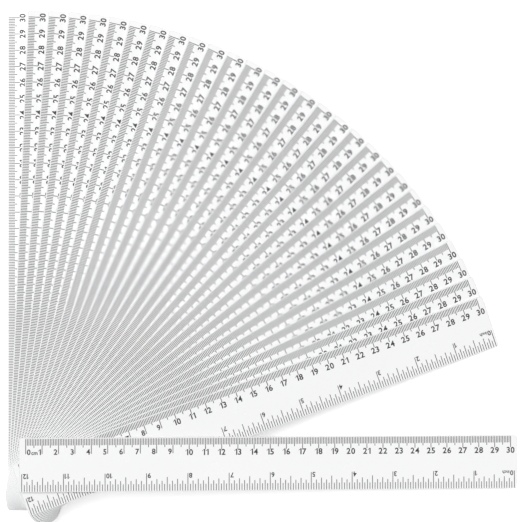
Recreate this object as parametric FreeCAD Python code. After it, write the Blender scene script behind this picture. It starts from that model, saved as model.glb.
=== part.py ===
import FreeCAD
import Part
import math
import os

# A set of thirty loose 30 cm / 12 inch plastic rulers, as they are laid out together.
# Twenty-nine lie in an open fan, each on the one beneath it, and one leans across their lower ends.
# Millimetres, +Z up. The origin is on the table at the fan centre, under the 0 cm mark of ruler_01.
# Ruler_01 points along +Y, and the fan opens clockwise, towards +X.

Vector = FreeCAD.Vector

# One ruler. Its own frame: X along it from the 0 cm mark, Y from its centreline to the cm edge.
ruler_length = 308.0
ruler_width = 33.0
ruler_thickness = 1.2
zero_margin = 4.0          # from the lower end to the 0 cm mark
corner_radius = 1.5        # in plan
edge_break = 0.2           # chamfer round the upper and lower faces

# The fan. Bearings are in degrees, clockwise from +Y.
fan_count = 29
fan_step = 2.433           # from one ruler's tip to the next
lie_gap = 0.15             # air between a ruler and what it lies on

# The fan isn't quite even. Each ruler is slid back about the fan centre, the middle ones the most,
# and turned on about its own tip, the last ones the most.
most_slip = 0.45
last_turn = 2.2

# The front ruler. The middle of its 30 cm end stands on the table.
front_past_fan = 21.876    # degrees from the last fan ruler's even bearing to the front ruler's
front_reach = 297.5        # from the fan centre to that end, along the front ruler
front_offset = 26.0        # and to its left

tip_reach = ruler_length - zero_margin
half_width = ruler_width / 2


def ahead(bearing):
    """Plan direction along a bearing."""
    angle = math.radians(bearing)
    return Vector(math.sin(angle), math.cos(angle), 0)


def leftward(bearing):
    """Plan direction to the left of a bearing."""
    return ahead(bearing - 90)


def cross_z(first, second):
    return first.x * second.y - first.y * second.x


class Lie:
    """How a ruler lies: the plane of its underside, and where the ruler is in that plane.

    slope is the plane's gradient, ground is a plan point whose height is zero,
    and own_point of the ruler's own frame is put at plan_point of the plane.
    """

    def __init__(self, slope, ground, bearing, own_point, plan_point):
        self.slope = slope
        self.ground = ground
        normal = Vector(-slope.x, -slope.y, 1).normalize()
        along = self.lifted(ahead(bearing)).normalize()
        left = normal.cross(along)
        rows = [(along[i], left[i], normal[i], 0) for i in range(3)]
        turn = FreeCAD.Matrix(*rows[0], *rows[1], *rows[2], 0, 0, 0, 1)
        self.placement = FreeCAD.Placement(turn)
        raised = Vector(plan_point.x, plan_point.y, self.height(plan_point))
        self.placement.Base = raised - self.placement.Rotation.multVec(own_point)
        self.rise = ruler_thickness / normal.z + lie_gap

    def lifted(self, plan_vector):
        """The vector of the plane that lies over a plan vector."""
        return Vector(plan_vector.x, plan_vector.y, self.slope.dot(plan_vector))

    def height(self, point):
        return self.slope.dot(point - self.ground)

    def outline(self):
        """Plan corners of the ruler, anticlockwise."""
        left_edge = [(tip_reach, half_width), (-zero_margin, half_width)]
        right_edge = [(-zero_margin, -half_width), (tip_reach, -half_width)]
        points = [self.placement.multVec(Vector(x, y, 0)) for x, y in left_edge + right_edge]
        return [Vector(point.x, point.y, 0) for point in points]


# The lower corner at the tip's inch side is what comes down to the table.
foot_inset = corner_radius - (corner_radius - edge_break) * math.sqrt(0.5)
foot = Vector(tip_reach - foot_inset, edge_break - half_width, 0)
tip_corner = Vector(tip_reach, half_width, 0)


def at_bearing(own_point, bearing):
    """Plan place of a point of a ruler that is laid evenly at a bearing."""
    return ahead(bearing) * own_point.x + leftward(bearing) * own_point.y


def slope_through(first, first_rise, second, second_rise):
    """Gradient that rises by the given heights along two plan vectors."""
    area = cross_z(first, second)
    x = (first_rise * second.y - second_rise * first.y) / area
    y = (second_rise * first.x - first_rise * second.x) / area
    return Vector(x, y, 0)


def fan_lies():
    """Lies of the fan's rulers, the lowest first.

    Ruler_01 lies flat. Each later ruler's plane passes one gap above the right-hand edge of the
    ruler beneath it and comes down to the table at its own right-hand tip corner. The planes are
    those of an even fan, and the rulers' slips and turns are made within them.
    """
    level = Vector(0, 0, 0)
    lies = [Lie(level, level, 0, tip_corner, at_bearing(tip_corner, 0))]
    for index in range(1, fan_count):
        beneath = lies[-1]
        bearing = index * fan_step
        ground = at_bearing(foot, bearing)
        edge = ahead(bearing - fan_step)
        step = ground - at_bearing(foot, bearing - fan_step)
        slope = slope_through(edge, beneath.slope.dot(edge), step, -beneath.rise)
        share = index / (fan_count - 1)
        laid = bearing - most_slip * math.sin(math.pi * share)
        turn = last_turn * share ** 3
        lies.append(Lie(slope, ground, laid + turn, tip_corner, at_bearing(tip_corner, laid)))
    return lies


def clipped(outline, start, end):
    """The part of a convex outline that is to the left of a line."""
    side = end - start
    kept = []
    for index, point in enumerate(outline):
        before = outline[index - 1]
        here = cross_z(side, point - start)
        there = cross_z(side, before - start)
        if here * there < 0:
            kept.append(before + (point - before) * (there / (there - here)))
        if here >= 0:
            kept.append(point)
    return kept


def front_lie(lies):
    """The front ruler's lie: from its end on the table it leans on whatever stands up the most."""
    end = Vector(tip_reach - edge_break, 0, 0)
    bearing = (fan_count - 1) * fan_step + front_past_fan
    ground = at_bearing(Vector(front_reach, front_offset, 0), bearing)
    outline = Lie(Vector(0, 0, 0), ground, bearing, end, ground).outline()
    lean = 0
    for lie in lies:
        shared = lie.outline()
        for index, corner in enumerate(outline):
            shared = clipped(shared, outline[index - 1], corner)
        for point in shared:
            reach = (ground - point).dot(ahead(bearing))
            lean = max(lean, (lie.height(point) + lie.rise) / reach)
    return Lie(ahead(bearing) * -lean, ground, bearing, end, ground)


def ruler_solid():
    """One ruler in its own frame, underside at Z = 0."""
    corner = Vector(-zero_margin, -half_width, 0)
    body = Part.makeBox(ruler_length, ruler_width, ruler_thickness, corner)
    upright = [edge for edge in body.Edges if edge.BoundBox.ZLength > ruler_thickness / 2]
    body = body.makeFillet(corner_radius, upright)
    flat = [edge for edge in body.Edges if edge.BoundBox.ZLength < ruler_thickness / 2]
    return body.makeChamfer(edge_break, flat)


def place_rulers():
    """Every ruler's name and placement."""
    lies = fan_lies()
    places = {f"ruler_{index + 1:02d}": lie.placement for index, lie in enumerate(lies)}
    places["front_ruler"] = front_lie(lies).placement
    return places


os.makedirs("parts", exist_ok=True)
ruler = ruler_solid()
for name, placement in place_rulers().items():
    copy = ruler.copy()
    copy.transformShape(placement.toMatrix())
    copy.exportStep(f"parts/{name}.step")
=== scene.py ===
import bpy
import bmesh
import numpy as np
from mathutils import Matrix, Vector


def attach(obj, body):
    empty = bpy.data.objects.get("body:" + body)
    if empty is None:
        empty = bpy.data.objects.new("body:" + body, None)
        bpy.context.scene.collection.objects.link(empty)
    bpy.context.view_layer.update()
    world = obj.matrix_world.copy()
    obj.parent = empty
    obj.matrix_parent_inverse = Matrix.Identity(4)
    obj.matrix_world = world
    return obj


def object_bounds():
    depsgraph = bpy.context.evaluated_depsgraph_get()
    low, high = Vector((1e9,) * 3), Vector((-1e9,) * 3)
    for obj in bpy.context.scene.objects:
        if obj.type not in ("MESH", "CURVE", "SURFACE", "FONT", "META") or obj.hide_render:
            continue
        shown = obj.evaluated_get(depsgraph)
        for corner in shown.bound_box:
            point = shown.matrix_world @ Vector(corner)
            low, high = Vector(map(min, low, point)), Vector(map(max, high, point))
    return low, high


# Thirty loose 30 cm / 12 inch rulers: milky plastic strips from the frame, each with its printed scales.
# Everything printed is laid out in a ruler's own frame, in millimetres: X from the 0 cm mark towards
# 30 cm, Y from the centreline towards the cm edge, Z up from the upper face.

MM = 0.001

# Ink
INK_TOP = 0.03            # film above the plastic
INK_BOTTOM = -0.01        # and keyed into it
LINE_WIDTH = 0.42

# Centimetre scale
SCALE_CM = 30
CM_EDGE_GAP = 0.6         # bare plastic between the edge and the ticks
MM_TICK = 4.0
HALF_CM_TICK = 5.4
LABELLED_TICK = 9.2       # 0 to 9 cm, with the figure beside the tick
SHORT_CM_TICK = 6.9       # 10 cm and up, with the figures under the tick
FIRST_TWO_FIGURES = 10

# Inch scale, read with the ruler turned round
INCH = 25.4
SCALE_INCHES = 12
PARTS_PER_INCH = 16
INCH_EDGE_GAP = 0.45
INCH_TICKS = {16: 10.6, 8: 8.3, 4: 7.1, 2: 6.0, 1: 4.0}   # by how many sixteenths they mark

# Figures
LETTER_EXTRUDE = 0.01     # each way, for letters of size one, before they are brought to the ink's film
FIGURE_WEIGHT = 0.026     # how far strokes are thickened each way, for letters of size one
ONE_FLAG = (0.30, 0.26, 0.12)   # reach, drop and weight of the flag of a 1, as shares of its height
FIGURE_SPACE = 0.13       # between two figures, as a share of their height
ONE_FIGURE_HEIGHT = 3.15  # centimetre figures beside their tick
ONE_FIGURE_DROP = 9.6     # from the start of the ticks down to the figures' feet
TWO_FIGURE_HEIGHT = 3.4   # centimetre figures under their tick
TWO_FIGURE_DROP = 10.3
INCH_FIGURE_HEIGHT = 2.8
CM_UNIT_SIZE = 0.72       # unit lettering as a share of the figures
INCH_UNIT_SIZE = 0.68
FIGURE_GAP = 0.7          # between a figure and the tick beside it
UNIT_GAP = 1.6            # from the 0 tick past the 0 to its unit, in figure gaps

# Light. The dome and the key together light a level surface at about one.
DOME_SHARE = 0.45
KEY_SHARE = 0.55
KEY_TRAVEL = Vector((0.16, -0.20, -1))   # from above and a little from the upper left
KEY_ANGLE = 0.5           # how wide the key looks from the table, in radians
FLOOR_LIFT = 0.4          # added to the floor where it is seen

# Camera, in metres
CAMERA_HEIGHT = 2.5
VIEW_WIDTH = 0.3224
LEFT_MARGIN = 0.0046      # from the view's edge to the rulers
TOP_MARGIN = 0.0067


# ---------------------------------------------------------------- materials

def node_material(name):
    material = bpy.data.materials.new(name)
    material.use_nodes = True
    return material, material.node_tree.nodes, material.node_tree.links


def seen_directly(nodes, links):
    """1 for camera, glossy and transmission rays, which see the plain white background, and else 0."""
    path = nodes.new("ShaderNodeLightPath")
    mirrored = nodes.new("ShaderNodeMath")
    mirrored.operation = "MAXIMUM"
    links.new(path.outputs["Is Glossy Ray"], mirrored.inputs[0])
    links.new(path.outputs["Is Transmission Ray"], mirrored.inputs[1])
    seen = nodes.new("ShaderNodeMath")
    seen.operation = "MAXIMUM"
    links.new(path.outputs["Is Camera Ray"], seen.inputs[0])
    links.new(mirrored.outputs["Value"], seen.inputs[1])
    return seen.outputs["Value"]


def ruler_plastic():
    """Milky plastic: glossy, a shade under white, with painted shade darkening it along its edges."""
    material, nodes, links = node_material("ruler_plastic")
    shader = nodes["Principled BSDF"]
    shader.inputs["IOR"].default_value = 1.49
    shader.inputs["Specular IOR Level"].default_value = 0.5

    # Painted shade along the edges: the mask is where a rounded normal would differ from the flat one.
    rounded = nodes.new("ShaderNodeBevel")
    rounded.samples = 4
    rounded.inputs["Radius"].default_value = 0.4 * MM
    flat = nodes.new("ShaderNodeNewGeometry")
    facing = nodes.new("ShaderNodeVectorMath")
    facing.operation = "DOT_PRODUCT"
    links.new(rounded.outputs["Normal"], facing.inputs[0])
    links.new(flat.outputs["Normal"], facing.inputs[1])
    edge = nodes.new("ShaderNodeMapRange")
    edge.inputs["From Min"].default_value = 1.0
    edge.inputs["From Max"].default_value = 0.88
    links.new(facing.outputs["Value"], edge.inputs["Value"])

    # Faint cloudiness of the moulded strip.
    place = nodes.new("ShaderNodeTexCoord")
    cloud = nodes.new("ShaderNodeTexNoise")
    cloud.inputs["Scale"].default_value = 14.0
    cloud.inputs["Detail"].default_value = 2.0
    links.new(place.outputs["Object"], cloud.inputs["Vector"])
    body = nodes.new("ShaderNodeMix")
    body.data_type = "RGBA"
    body.inputs["A"].default_value = (0.918, 0.922, 0.930, 1)
    body.inputs["B"].default_value = (0.948, 0.948, 0.948, 1)
    links.new(cloud.outputs["Fac"], body.inputs["Factor"])
    # Painted shade: the base colour is mixed toward grey along the edges.
    painted_edge_shade = nodes.new("ShaderNodeMix")
    painted_edge_shade.data_type = "RGBA"
    painted_edge_shade.inputs["B"].default_value = (0.68, 0.69, 0.705, 1)
    links.new(edge.outputs["Result"], painted_edge_shade.inputs["Factor"])
    links.new(body.outputs["Result"], painted_edge_shade.inputs["A"])
    links.new(painted_edge_shade.outputs["Result"], shader.inputs["Base Color"])

    # Handling marks: the gloss is a little uneven.
    wear = nodes.new("ShaderNodeTexNoise")
    wear.inputs["Scale"].default_value = 60.0
    wear.inputs["Detail"].default_value = 5.0
    links.new(place.outputs["Object"], wear.inputs["Vector"])
    gloss = nodes.new("ShaderNodeMapRange")
    gloss.inputs["To Min"].default_value = 0.16
    gloss.inputs["To Max"].default_value = 0.34
    links.new(wear.outputs["Fac"], gloss.inputs["Value"])
    links.new(gloss.outputs["Result"], shader.inputs["Roughness"])

    # Very slight waviness of the moulded face.
    ripple = nodes.new("ShaderNodeBump")
    ripple.inputs["Strength"].default_value = 0.08
    ripple.inputs["Distance"].default_value = 0.2 * MM
    links.new(cloud.outputs["Fac"], ripple.inputs["Height"])
    links.new(ripple.outputs["Normal"], shader.inputs["Normal"])
    return material


def print_ink():
    """Black screen-printed ink, slightly uneven in cover."""
    material, nodes, links = node_material("print_ink")
    shader = nodes["Principled BSDF"]
    shader.inputs["Roughness"].default_value = 0.55
    place = nodes.new("ShaderNodeTexCoord")
    cover = nodes.new("ShaderNodeTexNoise")
    cover.inputs["Scale"].default_value = 900.0
    cover.inputs["Detail"].default_value = 3.0
    links.new(place.outputs["Object"], cover.inputs["Vector"])
    ink = nodes.new("ShaderNodeMix")
    ink.data_type = "RGBA"
    ink.inputs["A"].default_value = (0.008, 0.008, 0.010, 1)
    ink.inputs["B"].default_value = (0.030, 0.030, 0.034, 1)
    links.new(cover.outputs["Fac"], ink.inputs["Factor"])
    links.new(ink.outputs["Result"], shader.inputs["Base Color"])
    return material


def floor_white():
    """Matt white table, lifted a little for the camera so that it reads as plain white."""
    material, nodes, links = node_material("floor_white")
    shader = nodes["Principled BSDF"]
    shader.inputs["Base Color"].default_value = (0.93, 0.93, 0.93, 1)
    shader.inputs["Roughness"].default_value = 0.9
    shader.inputs["Specular IOR Level"].default_value = 0.1
    shader.inputs["Emission Color"].default_value = (1, 1, 1, 1)
    lift = nodes.new("ShaderNodeMath")
    lift.operation = "MULTIPLY"
    lift.inputs[1].default_value = FLOOR_LIFT
    links.new(seen_directly(nodes, links), lift.inputs[0])
    links.new(lift.outputs["Value"], shader.inputs["Emission Strength"])
    return material


# ---------------------------------------------------------------- printed scales

def add_line(mesh, x, y_from, y_to):
    """One thin slab of ink across the ruler, with its width along X."""
    low = Vector((x - LINE_WIDTH / 2, min(y_from, y_to), INK_BOTTOM))
    high = Vector((x + LINE_WIDTH / 2, max(y_from, y_to), INK_TOP))
    size = high - low
    place = Matrix.Translation((low + high) / 2) @ Matrix.Diagonal((*size, 1))
    bmesh.ops.create_cube(mesh, size=1.0, matrix=place)


def letters(text, height):
    """Mesh of plain sans letters, left end at X = 0 and foot at Y = 0, for the height of figures."""
    curve = bpy.data.curves.new("lettering", "FONT")
    curve.body = text
    curve.resolution_u = 3
    curve.extrude = LETTER_EXTRUDE
    curve.offset = FIGURE_WEIGHT
    holder = bpy.data.objects.new("lettering", curve)
    bpy.context.scene.collection.objects.link(holder)
    bpy.context.view_layer.update()
    mesh = bpy.data.meshes.new_from_object(holder)
    bpy.data.objects.remove(holder)
    bpy.data.curves.remove(curve)
    points = np.array([vertex.co for vertex in mesh.vertices])
    left = points[:, 0].min()
    scale = height / FIGURE_EM
    thickness = (INK_TOP - INK_BOTTOM) / (2 * LETTER_EXTRUDE)
    sink = (INK_TOP + INK_BOTTOM) / 2
    mesh.transform(Matrix.Translation((0, 0, sink)) @ Matrix.Diagonal((scale, scale, thickness, 1))
                   @ Matrix.Translation((-left, 0, 0)))
    width = (points[:, 0].max() - left) * scale
    return mesh, width


def add_flag(target, height):
    """The slanted flag to the left of a 1, whose stem starts at X = 0."""
    reach, drop, weight = (share * height for share in ONE_FLAG)
    outline = [(0, height), (0, height - weight), (-reach, height - drop - weight), (-reach, height - drop)]
    low = [target.verts.new((x, y, INK_BOTTOM)) for x, y in outline]
    high = [target.verts.new((x, y, INK_TOP)) for x, y in outline]
    target.faces.new(low)
    target.faces.new(high[::-1])
    for index in range(len(outline)):
        target.faces.new((low[index - 1], high[index - 1], high[index], low[index]))


def lettering(text, height):
    """Mesh of a number, figure by figure and with a flag on each 1, or of a unit's letters."""
    if not text.isdigit():
        return letters(text, height)
    line = bmesh.new()
    end = 0
    for figure in text:
        mesh, width = letters(figure, height)
        glyph = bmesh.new()
        glyph.from_mesh(mesh)
        bpy.data.meshes.remove(mesh)
        start = end
        if figure == "1":
            add_flag(glyph, height)
            start += ONE_FLAG[0] * height
        bmesh.ops.translate(glyph, vec=(start, 0, 0), verts=glyph.verts)
        placed = bpy.data.meshes.new("figure")
        glyph.to_mesh(placed)
        glyph.free()
        line.from_mesh(placed)
        bpy.data.meshes.remove(placed)
        end = start + width + FIGURE_SPACE * height
    mesh = bpy.data.meshes.new("number")
    line.to_mesh(mesh)
    line.free()
    return mesh, end - FIGURE_SPACE * height


def add_lettering(target, text, height, x, y, align, turned=False):
    """Puts lettering with its left end, middle or right end at x, and its foot at y."""
    mesh, width = lettering(text, height)
    shift = {"left": 0, "middle": -width / 2, "right": -width}[align]
    if turned:
        place = Matrix.Rotation(np.pi, 4, "Z") @ Matrix.Translation((-x + shift, -y, 0))
    else:
        place = Matrix.Translation((x + shift, y, 0))
    mesh.transform(place)
    target.from_mesh(mesh)
    bpy.data.meshes.remove(mesh)
    return width


def add_cm_scale(mesh, half_width):
    top = half_width - CM_EDGE_GAP
    foot = top - ONE_FIGURE_DROP
    for millimetre in range(SCALE_CM * 10 + 1):
        if millimetre % 10 == 0:
            two_figures = millimetre >= FIRST_TWO_FIGURES * 10
            length = SHORT_CM_TICK if two_figures else LABELLED_TICK
        elif millimetre % 5 == 0:
            length = HALF_CM_TICK
        else:
            length = MM_TICK
        add_line(mesh, millimetre, top, top - length)
    for cm in range(1, SCALE_CM + 1):
        if cm < FIRST_TWO_FIGURES:
            add_lettering(mesh, str(cm), ONE_FIGURE_HEIGHT, cm * 10 - FIGURE_GAP, foot, "right")
        else:
            add_lettering(mesh, str(cm), TWO_FIGURE_HEIGHT, cm * 10, top - TWO_FIGURE_DROP, "middle")
    width = add_lettering(mesh, "0", ONE_FIGURE_HEIGHT, FIGURE_GAP, foot, "left")
    unit = FIGURE_GAP * UNIT_GAP + width
    add_lettering(mesh, "cm", ONE_FIGURE_HEIGHT * CM_UNIT_SIZE, unit, foot, "left")


def add_inch_scale(mesh, half_width):
    """The inch scale is centred on the ruler like the cm scale, and starts at the 30 cm end."""
    start = (SCALE_CM * 10 + SCALE_INCHES * INCH) / 2
    bottom = INCH_EDGE_GAP - half_width
    foot = bottom + INCH_TICKS[PARTS_PER_INCH]
    for part in range(SCALE_INCHES * PARTS_PER_INCH + 1):
        rank = max(step for step in INCH_TICKS if part % step == 0)
        add_line(mesh, start - part * INCH / PARTS_PER_INCH, bottom, bottom + INCH_TICKS[rank])
    for inch in range(1, SCALE_INCHES + 1):
        place = start - inch * INCH + FIGURE_GAP
        add_lettering(mesh, str(inch), INCH_FIGURE_HEIGHT, place, foot, "right", turned=True)
    width = add_lettering(mesh, "0", INCH_FIGURE_HEIGHT, start - FIGURE_GAP, foot, "left", turned=True)
    unit = start - FIGURE_GAP * UNIT_GAP - width
    add_lettering(mesh, "inch", INCH_FIGURE_HEIGHT * INCH_UNIT_SIZE, unit, foot, "left", turned=True)


def figure_em():
    """Height of a figure in lettering of size one."""
    curve = bpy.data.curves.new("measure", "FONT")
    curve.body = "1"
    holder = bpy.data.objects.new("measure", curve)
    bpy.context.scene.collection.objects.link(holder)
    bpy.context.view_layer.update()
    height = holder.dimensions.y
    bpy.data.objects.remove(holder)
    bpy.data.curves.remove(curve)
    return height


def scale_print(half_width):
    """The whole print of one ruler, as one mesh in metres."""
    mesh = bmesh.new()
    add_cm_scale(mesh, half_width)
    add_inch_scale(mesh, half_width)
    bmesh.ops.scale(mesh, vec=(MM, MM, MM), verts=mesh.verts)
    result = bpy.data.meshes.new("scale_print")
    mesh.to_mesh(result)
    mesh.free()
    return result


# ---------------------------------------------------------------- placing on the frame

def ruler_frame(node):
    """A ruler's own frame in the row frame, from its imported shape, and its width."""
    points = np.array([vertex.co for vertex in node.data.vertices])
    middle = (points.min(0) + points.max(0)) / 2
    axes = np.linalg.eigh(np.cov((points - middle).T))[1]
    along, up = axes[:, 2], axes[:, 0]
    along = along * np.sign(along @ middle)
    up = up * np.sign(up[2])
    left = np.cross(up, along)
    reach = (points - middle) @ np.stack([along, left, up], axis=1)
    _, width, thickness = reach.max(0) - reach.min(0)
    zero = middle - along * SCALE_CM * 10 * MM / 2 + up * thickness / 2
    matrix = Matrix.Identity(4)
    for column, vector in enumerate((along, left, up, zero)):
        for row in range(3):
            matrix[row][column] = vector[row]
    return matrix, width


def set_material(node, material):
    if not node.material_slots:
        node.data.materials.append(material)
    for slot in node.material_slots:
        slot.material = material


def dress_rulers(frame):
    plastic = ruler_plastic()
    ink = print_ink()
    width = ruler_frame(frame["nodes"]["front_ruler"])[1]
    pattern = scale_print(width / 2 / MM)
    pattern.materials.append(ink)
    for name, node in sorted(frame["nodes"].items()):
        set_material(node, plastic)
        printed = bpy.data.objects.new(name + "_print", pattern.copy())
        bpy.context.scene.collection.objects.link(printed)
        printed.matrix_world = ruler_frame(node)[0]
        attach(printed, name)
    bpy.data.meshes.remove(pattern)


# ---------------------------------------------------------------- studio

def add_floor():
    mesh = bpy.data.meshes.new("floor")
    reach, drop = 15.0, -0.1 * MM
    corners = [(-reach, -reach, drop), (reach, -reach, drop), (reach, reach, drop), (-reach, reach, drop)]
    mesh.from_pydata(corners, [], [(0, 1, 2, 3)])
    mesh.materials.append(floor_white())
    floor = bpy.data.objects.new("floor", mesh)
    bpy.context.scene.collection.objects.link(floor)


def add_world():
    world = bpy.data.worlds.new("studio")
    world.use_nodes = True
    nodes, links = world.node_tree.nodes, world.node_tree.links
    background = nodes["Background"]
    level = nodes.new("ShaderNodeMapRange")
    level.inputs["To Min"].default_value = DOME_SHARE
    level.inputs["To Max"].default_value = 1.0
    links.new(seen_directly(nodes, links), level.inputs["Value"])
    links.new(level.outputs["Result"], background.inputs["Strength"])
    background.inputs["Color"].default_value = (1, 1, 1, 1)
    bpy.context.scene.world = world


def add_key_light(middle):
    light = bpy.data.lights.new("key", "SUN")
    light.energy = KEY_SHARE * np.pi / -KEY_TRAVEL.normalized().z
    light.angle = KEY_ANGLE
    lamp = bpy.data.objects.new("key", light)
    lamp.rotation_euler = KEY_TRAVEL.to_track_quat("-Z", "Y").to_euler()
    lamp.location = middle - KEY_TRAVEL
    bpy.context.scene.collection.objects.link(lamp)


def add_camera(low, high):
    """Straight down from far above, framed as in the photograph."""
    left = low.x - LEFT_MARGIN
    top = high.y + TOP_MARGIN
    middle = Vector((left + VIEW_WIDTH / 2, top - VIEW_WIDTH / 2, 0))
    lens = bpy.data.cameras.new("camera")
    lens.lens = lens.sensor_width * CAMERA_HEIGHT / VIEW_WIDTH
    lens.clip_end = 100
    camera = bpy.data.objects.new("camera", lens)
    camera.location = middle + Vector((0, 0, CAMERA_HEIGHT))
    bpy.context.scene.collection.objects.link(camera)
    bpy.context.scene.camera = camera


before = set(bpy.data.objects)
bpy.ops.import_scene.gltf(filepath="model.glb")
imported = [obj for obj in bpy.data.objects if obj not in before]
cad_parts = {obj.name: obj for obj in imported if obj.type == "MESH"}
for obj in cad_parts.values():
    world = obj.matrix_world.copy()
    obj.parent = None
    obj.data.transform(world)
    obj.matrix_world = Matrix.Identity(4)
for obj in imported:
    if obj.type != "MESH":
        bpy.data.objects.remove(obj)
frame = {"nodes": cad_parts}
cad_low, cad_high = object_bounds()
FIGURE_EM = figure_em()
dress_rulers(frame)
add_floor()
add_world()
add_key_light((cad_low + cad_high) / 2)
add_camera(cad_low, cad_high)
bpy.context.scene.view_settings.view_transform = "Standard"
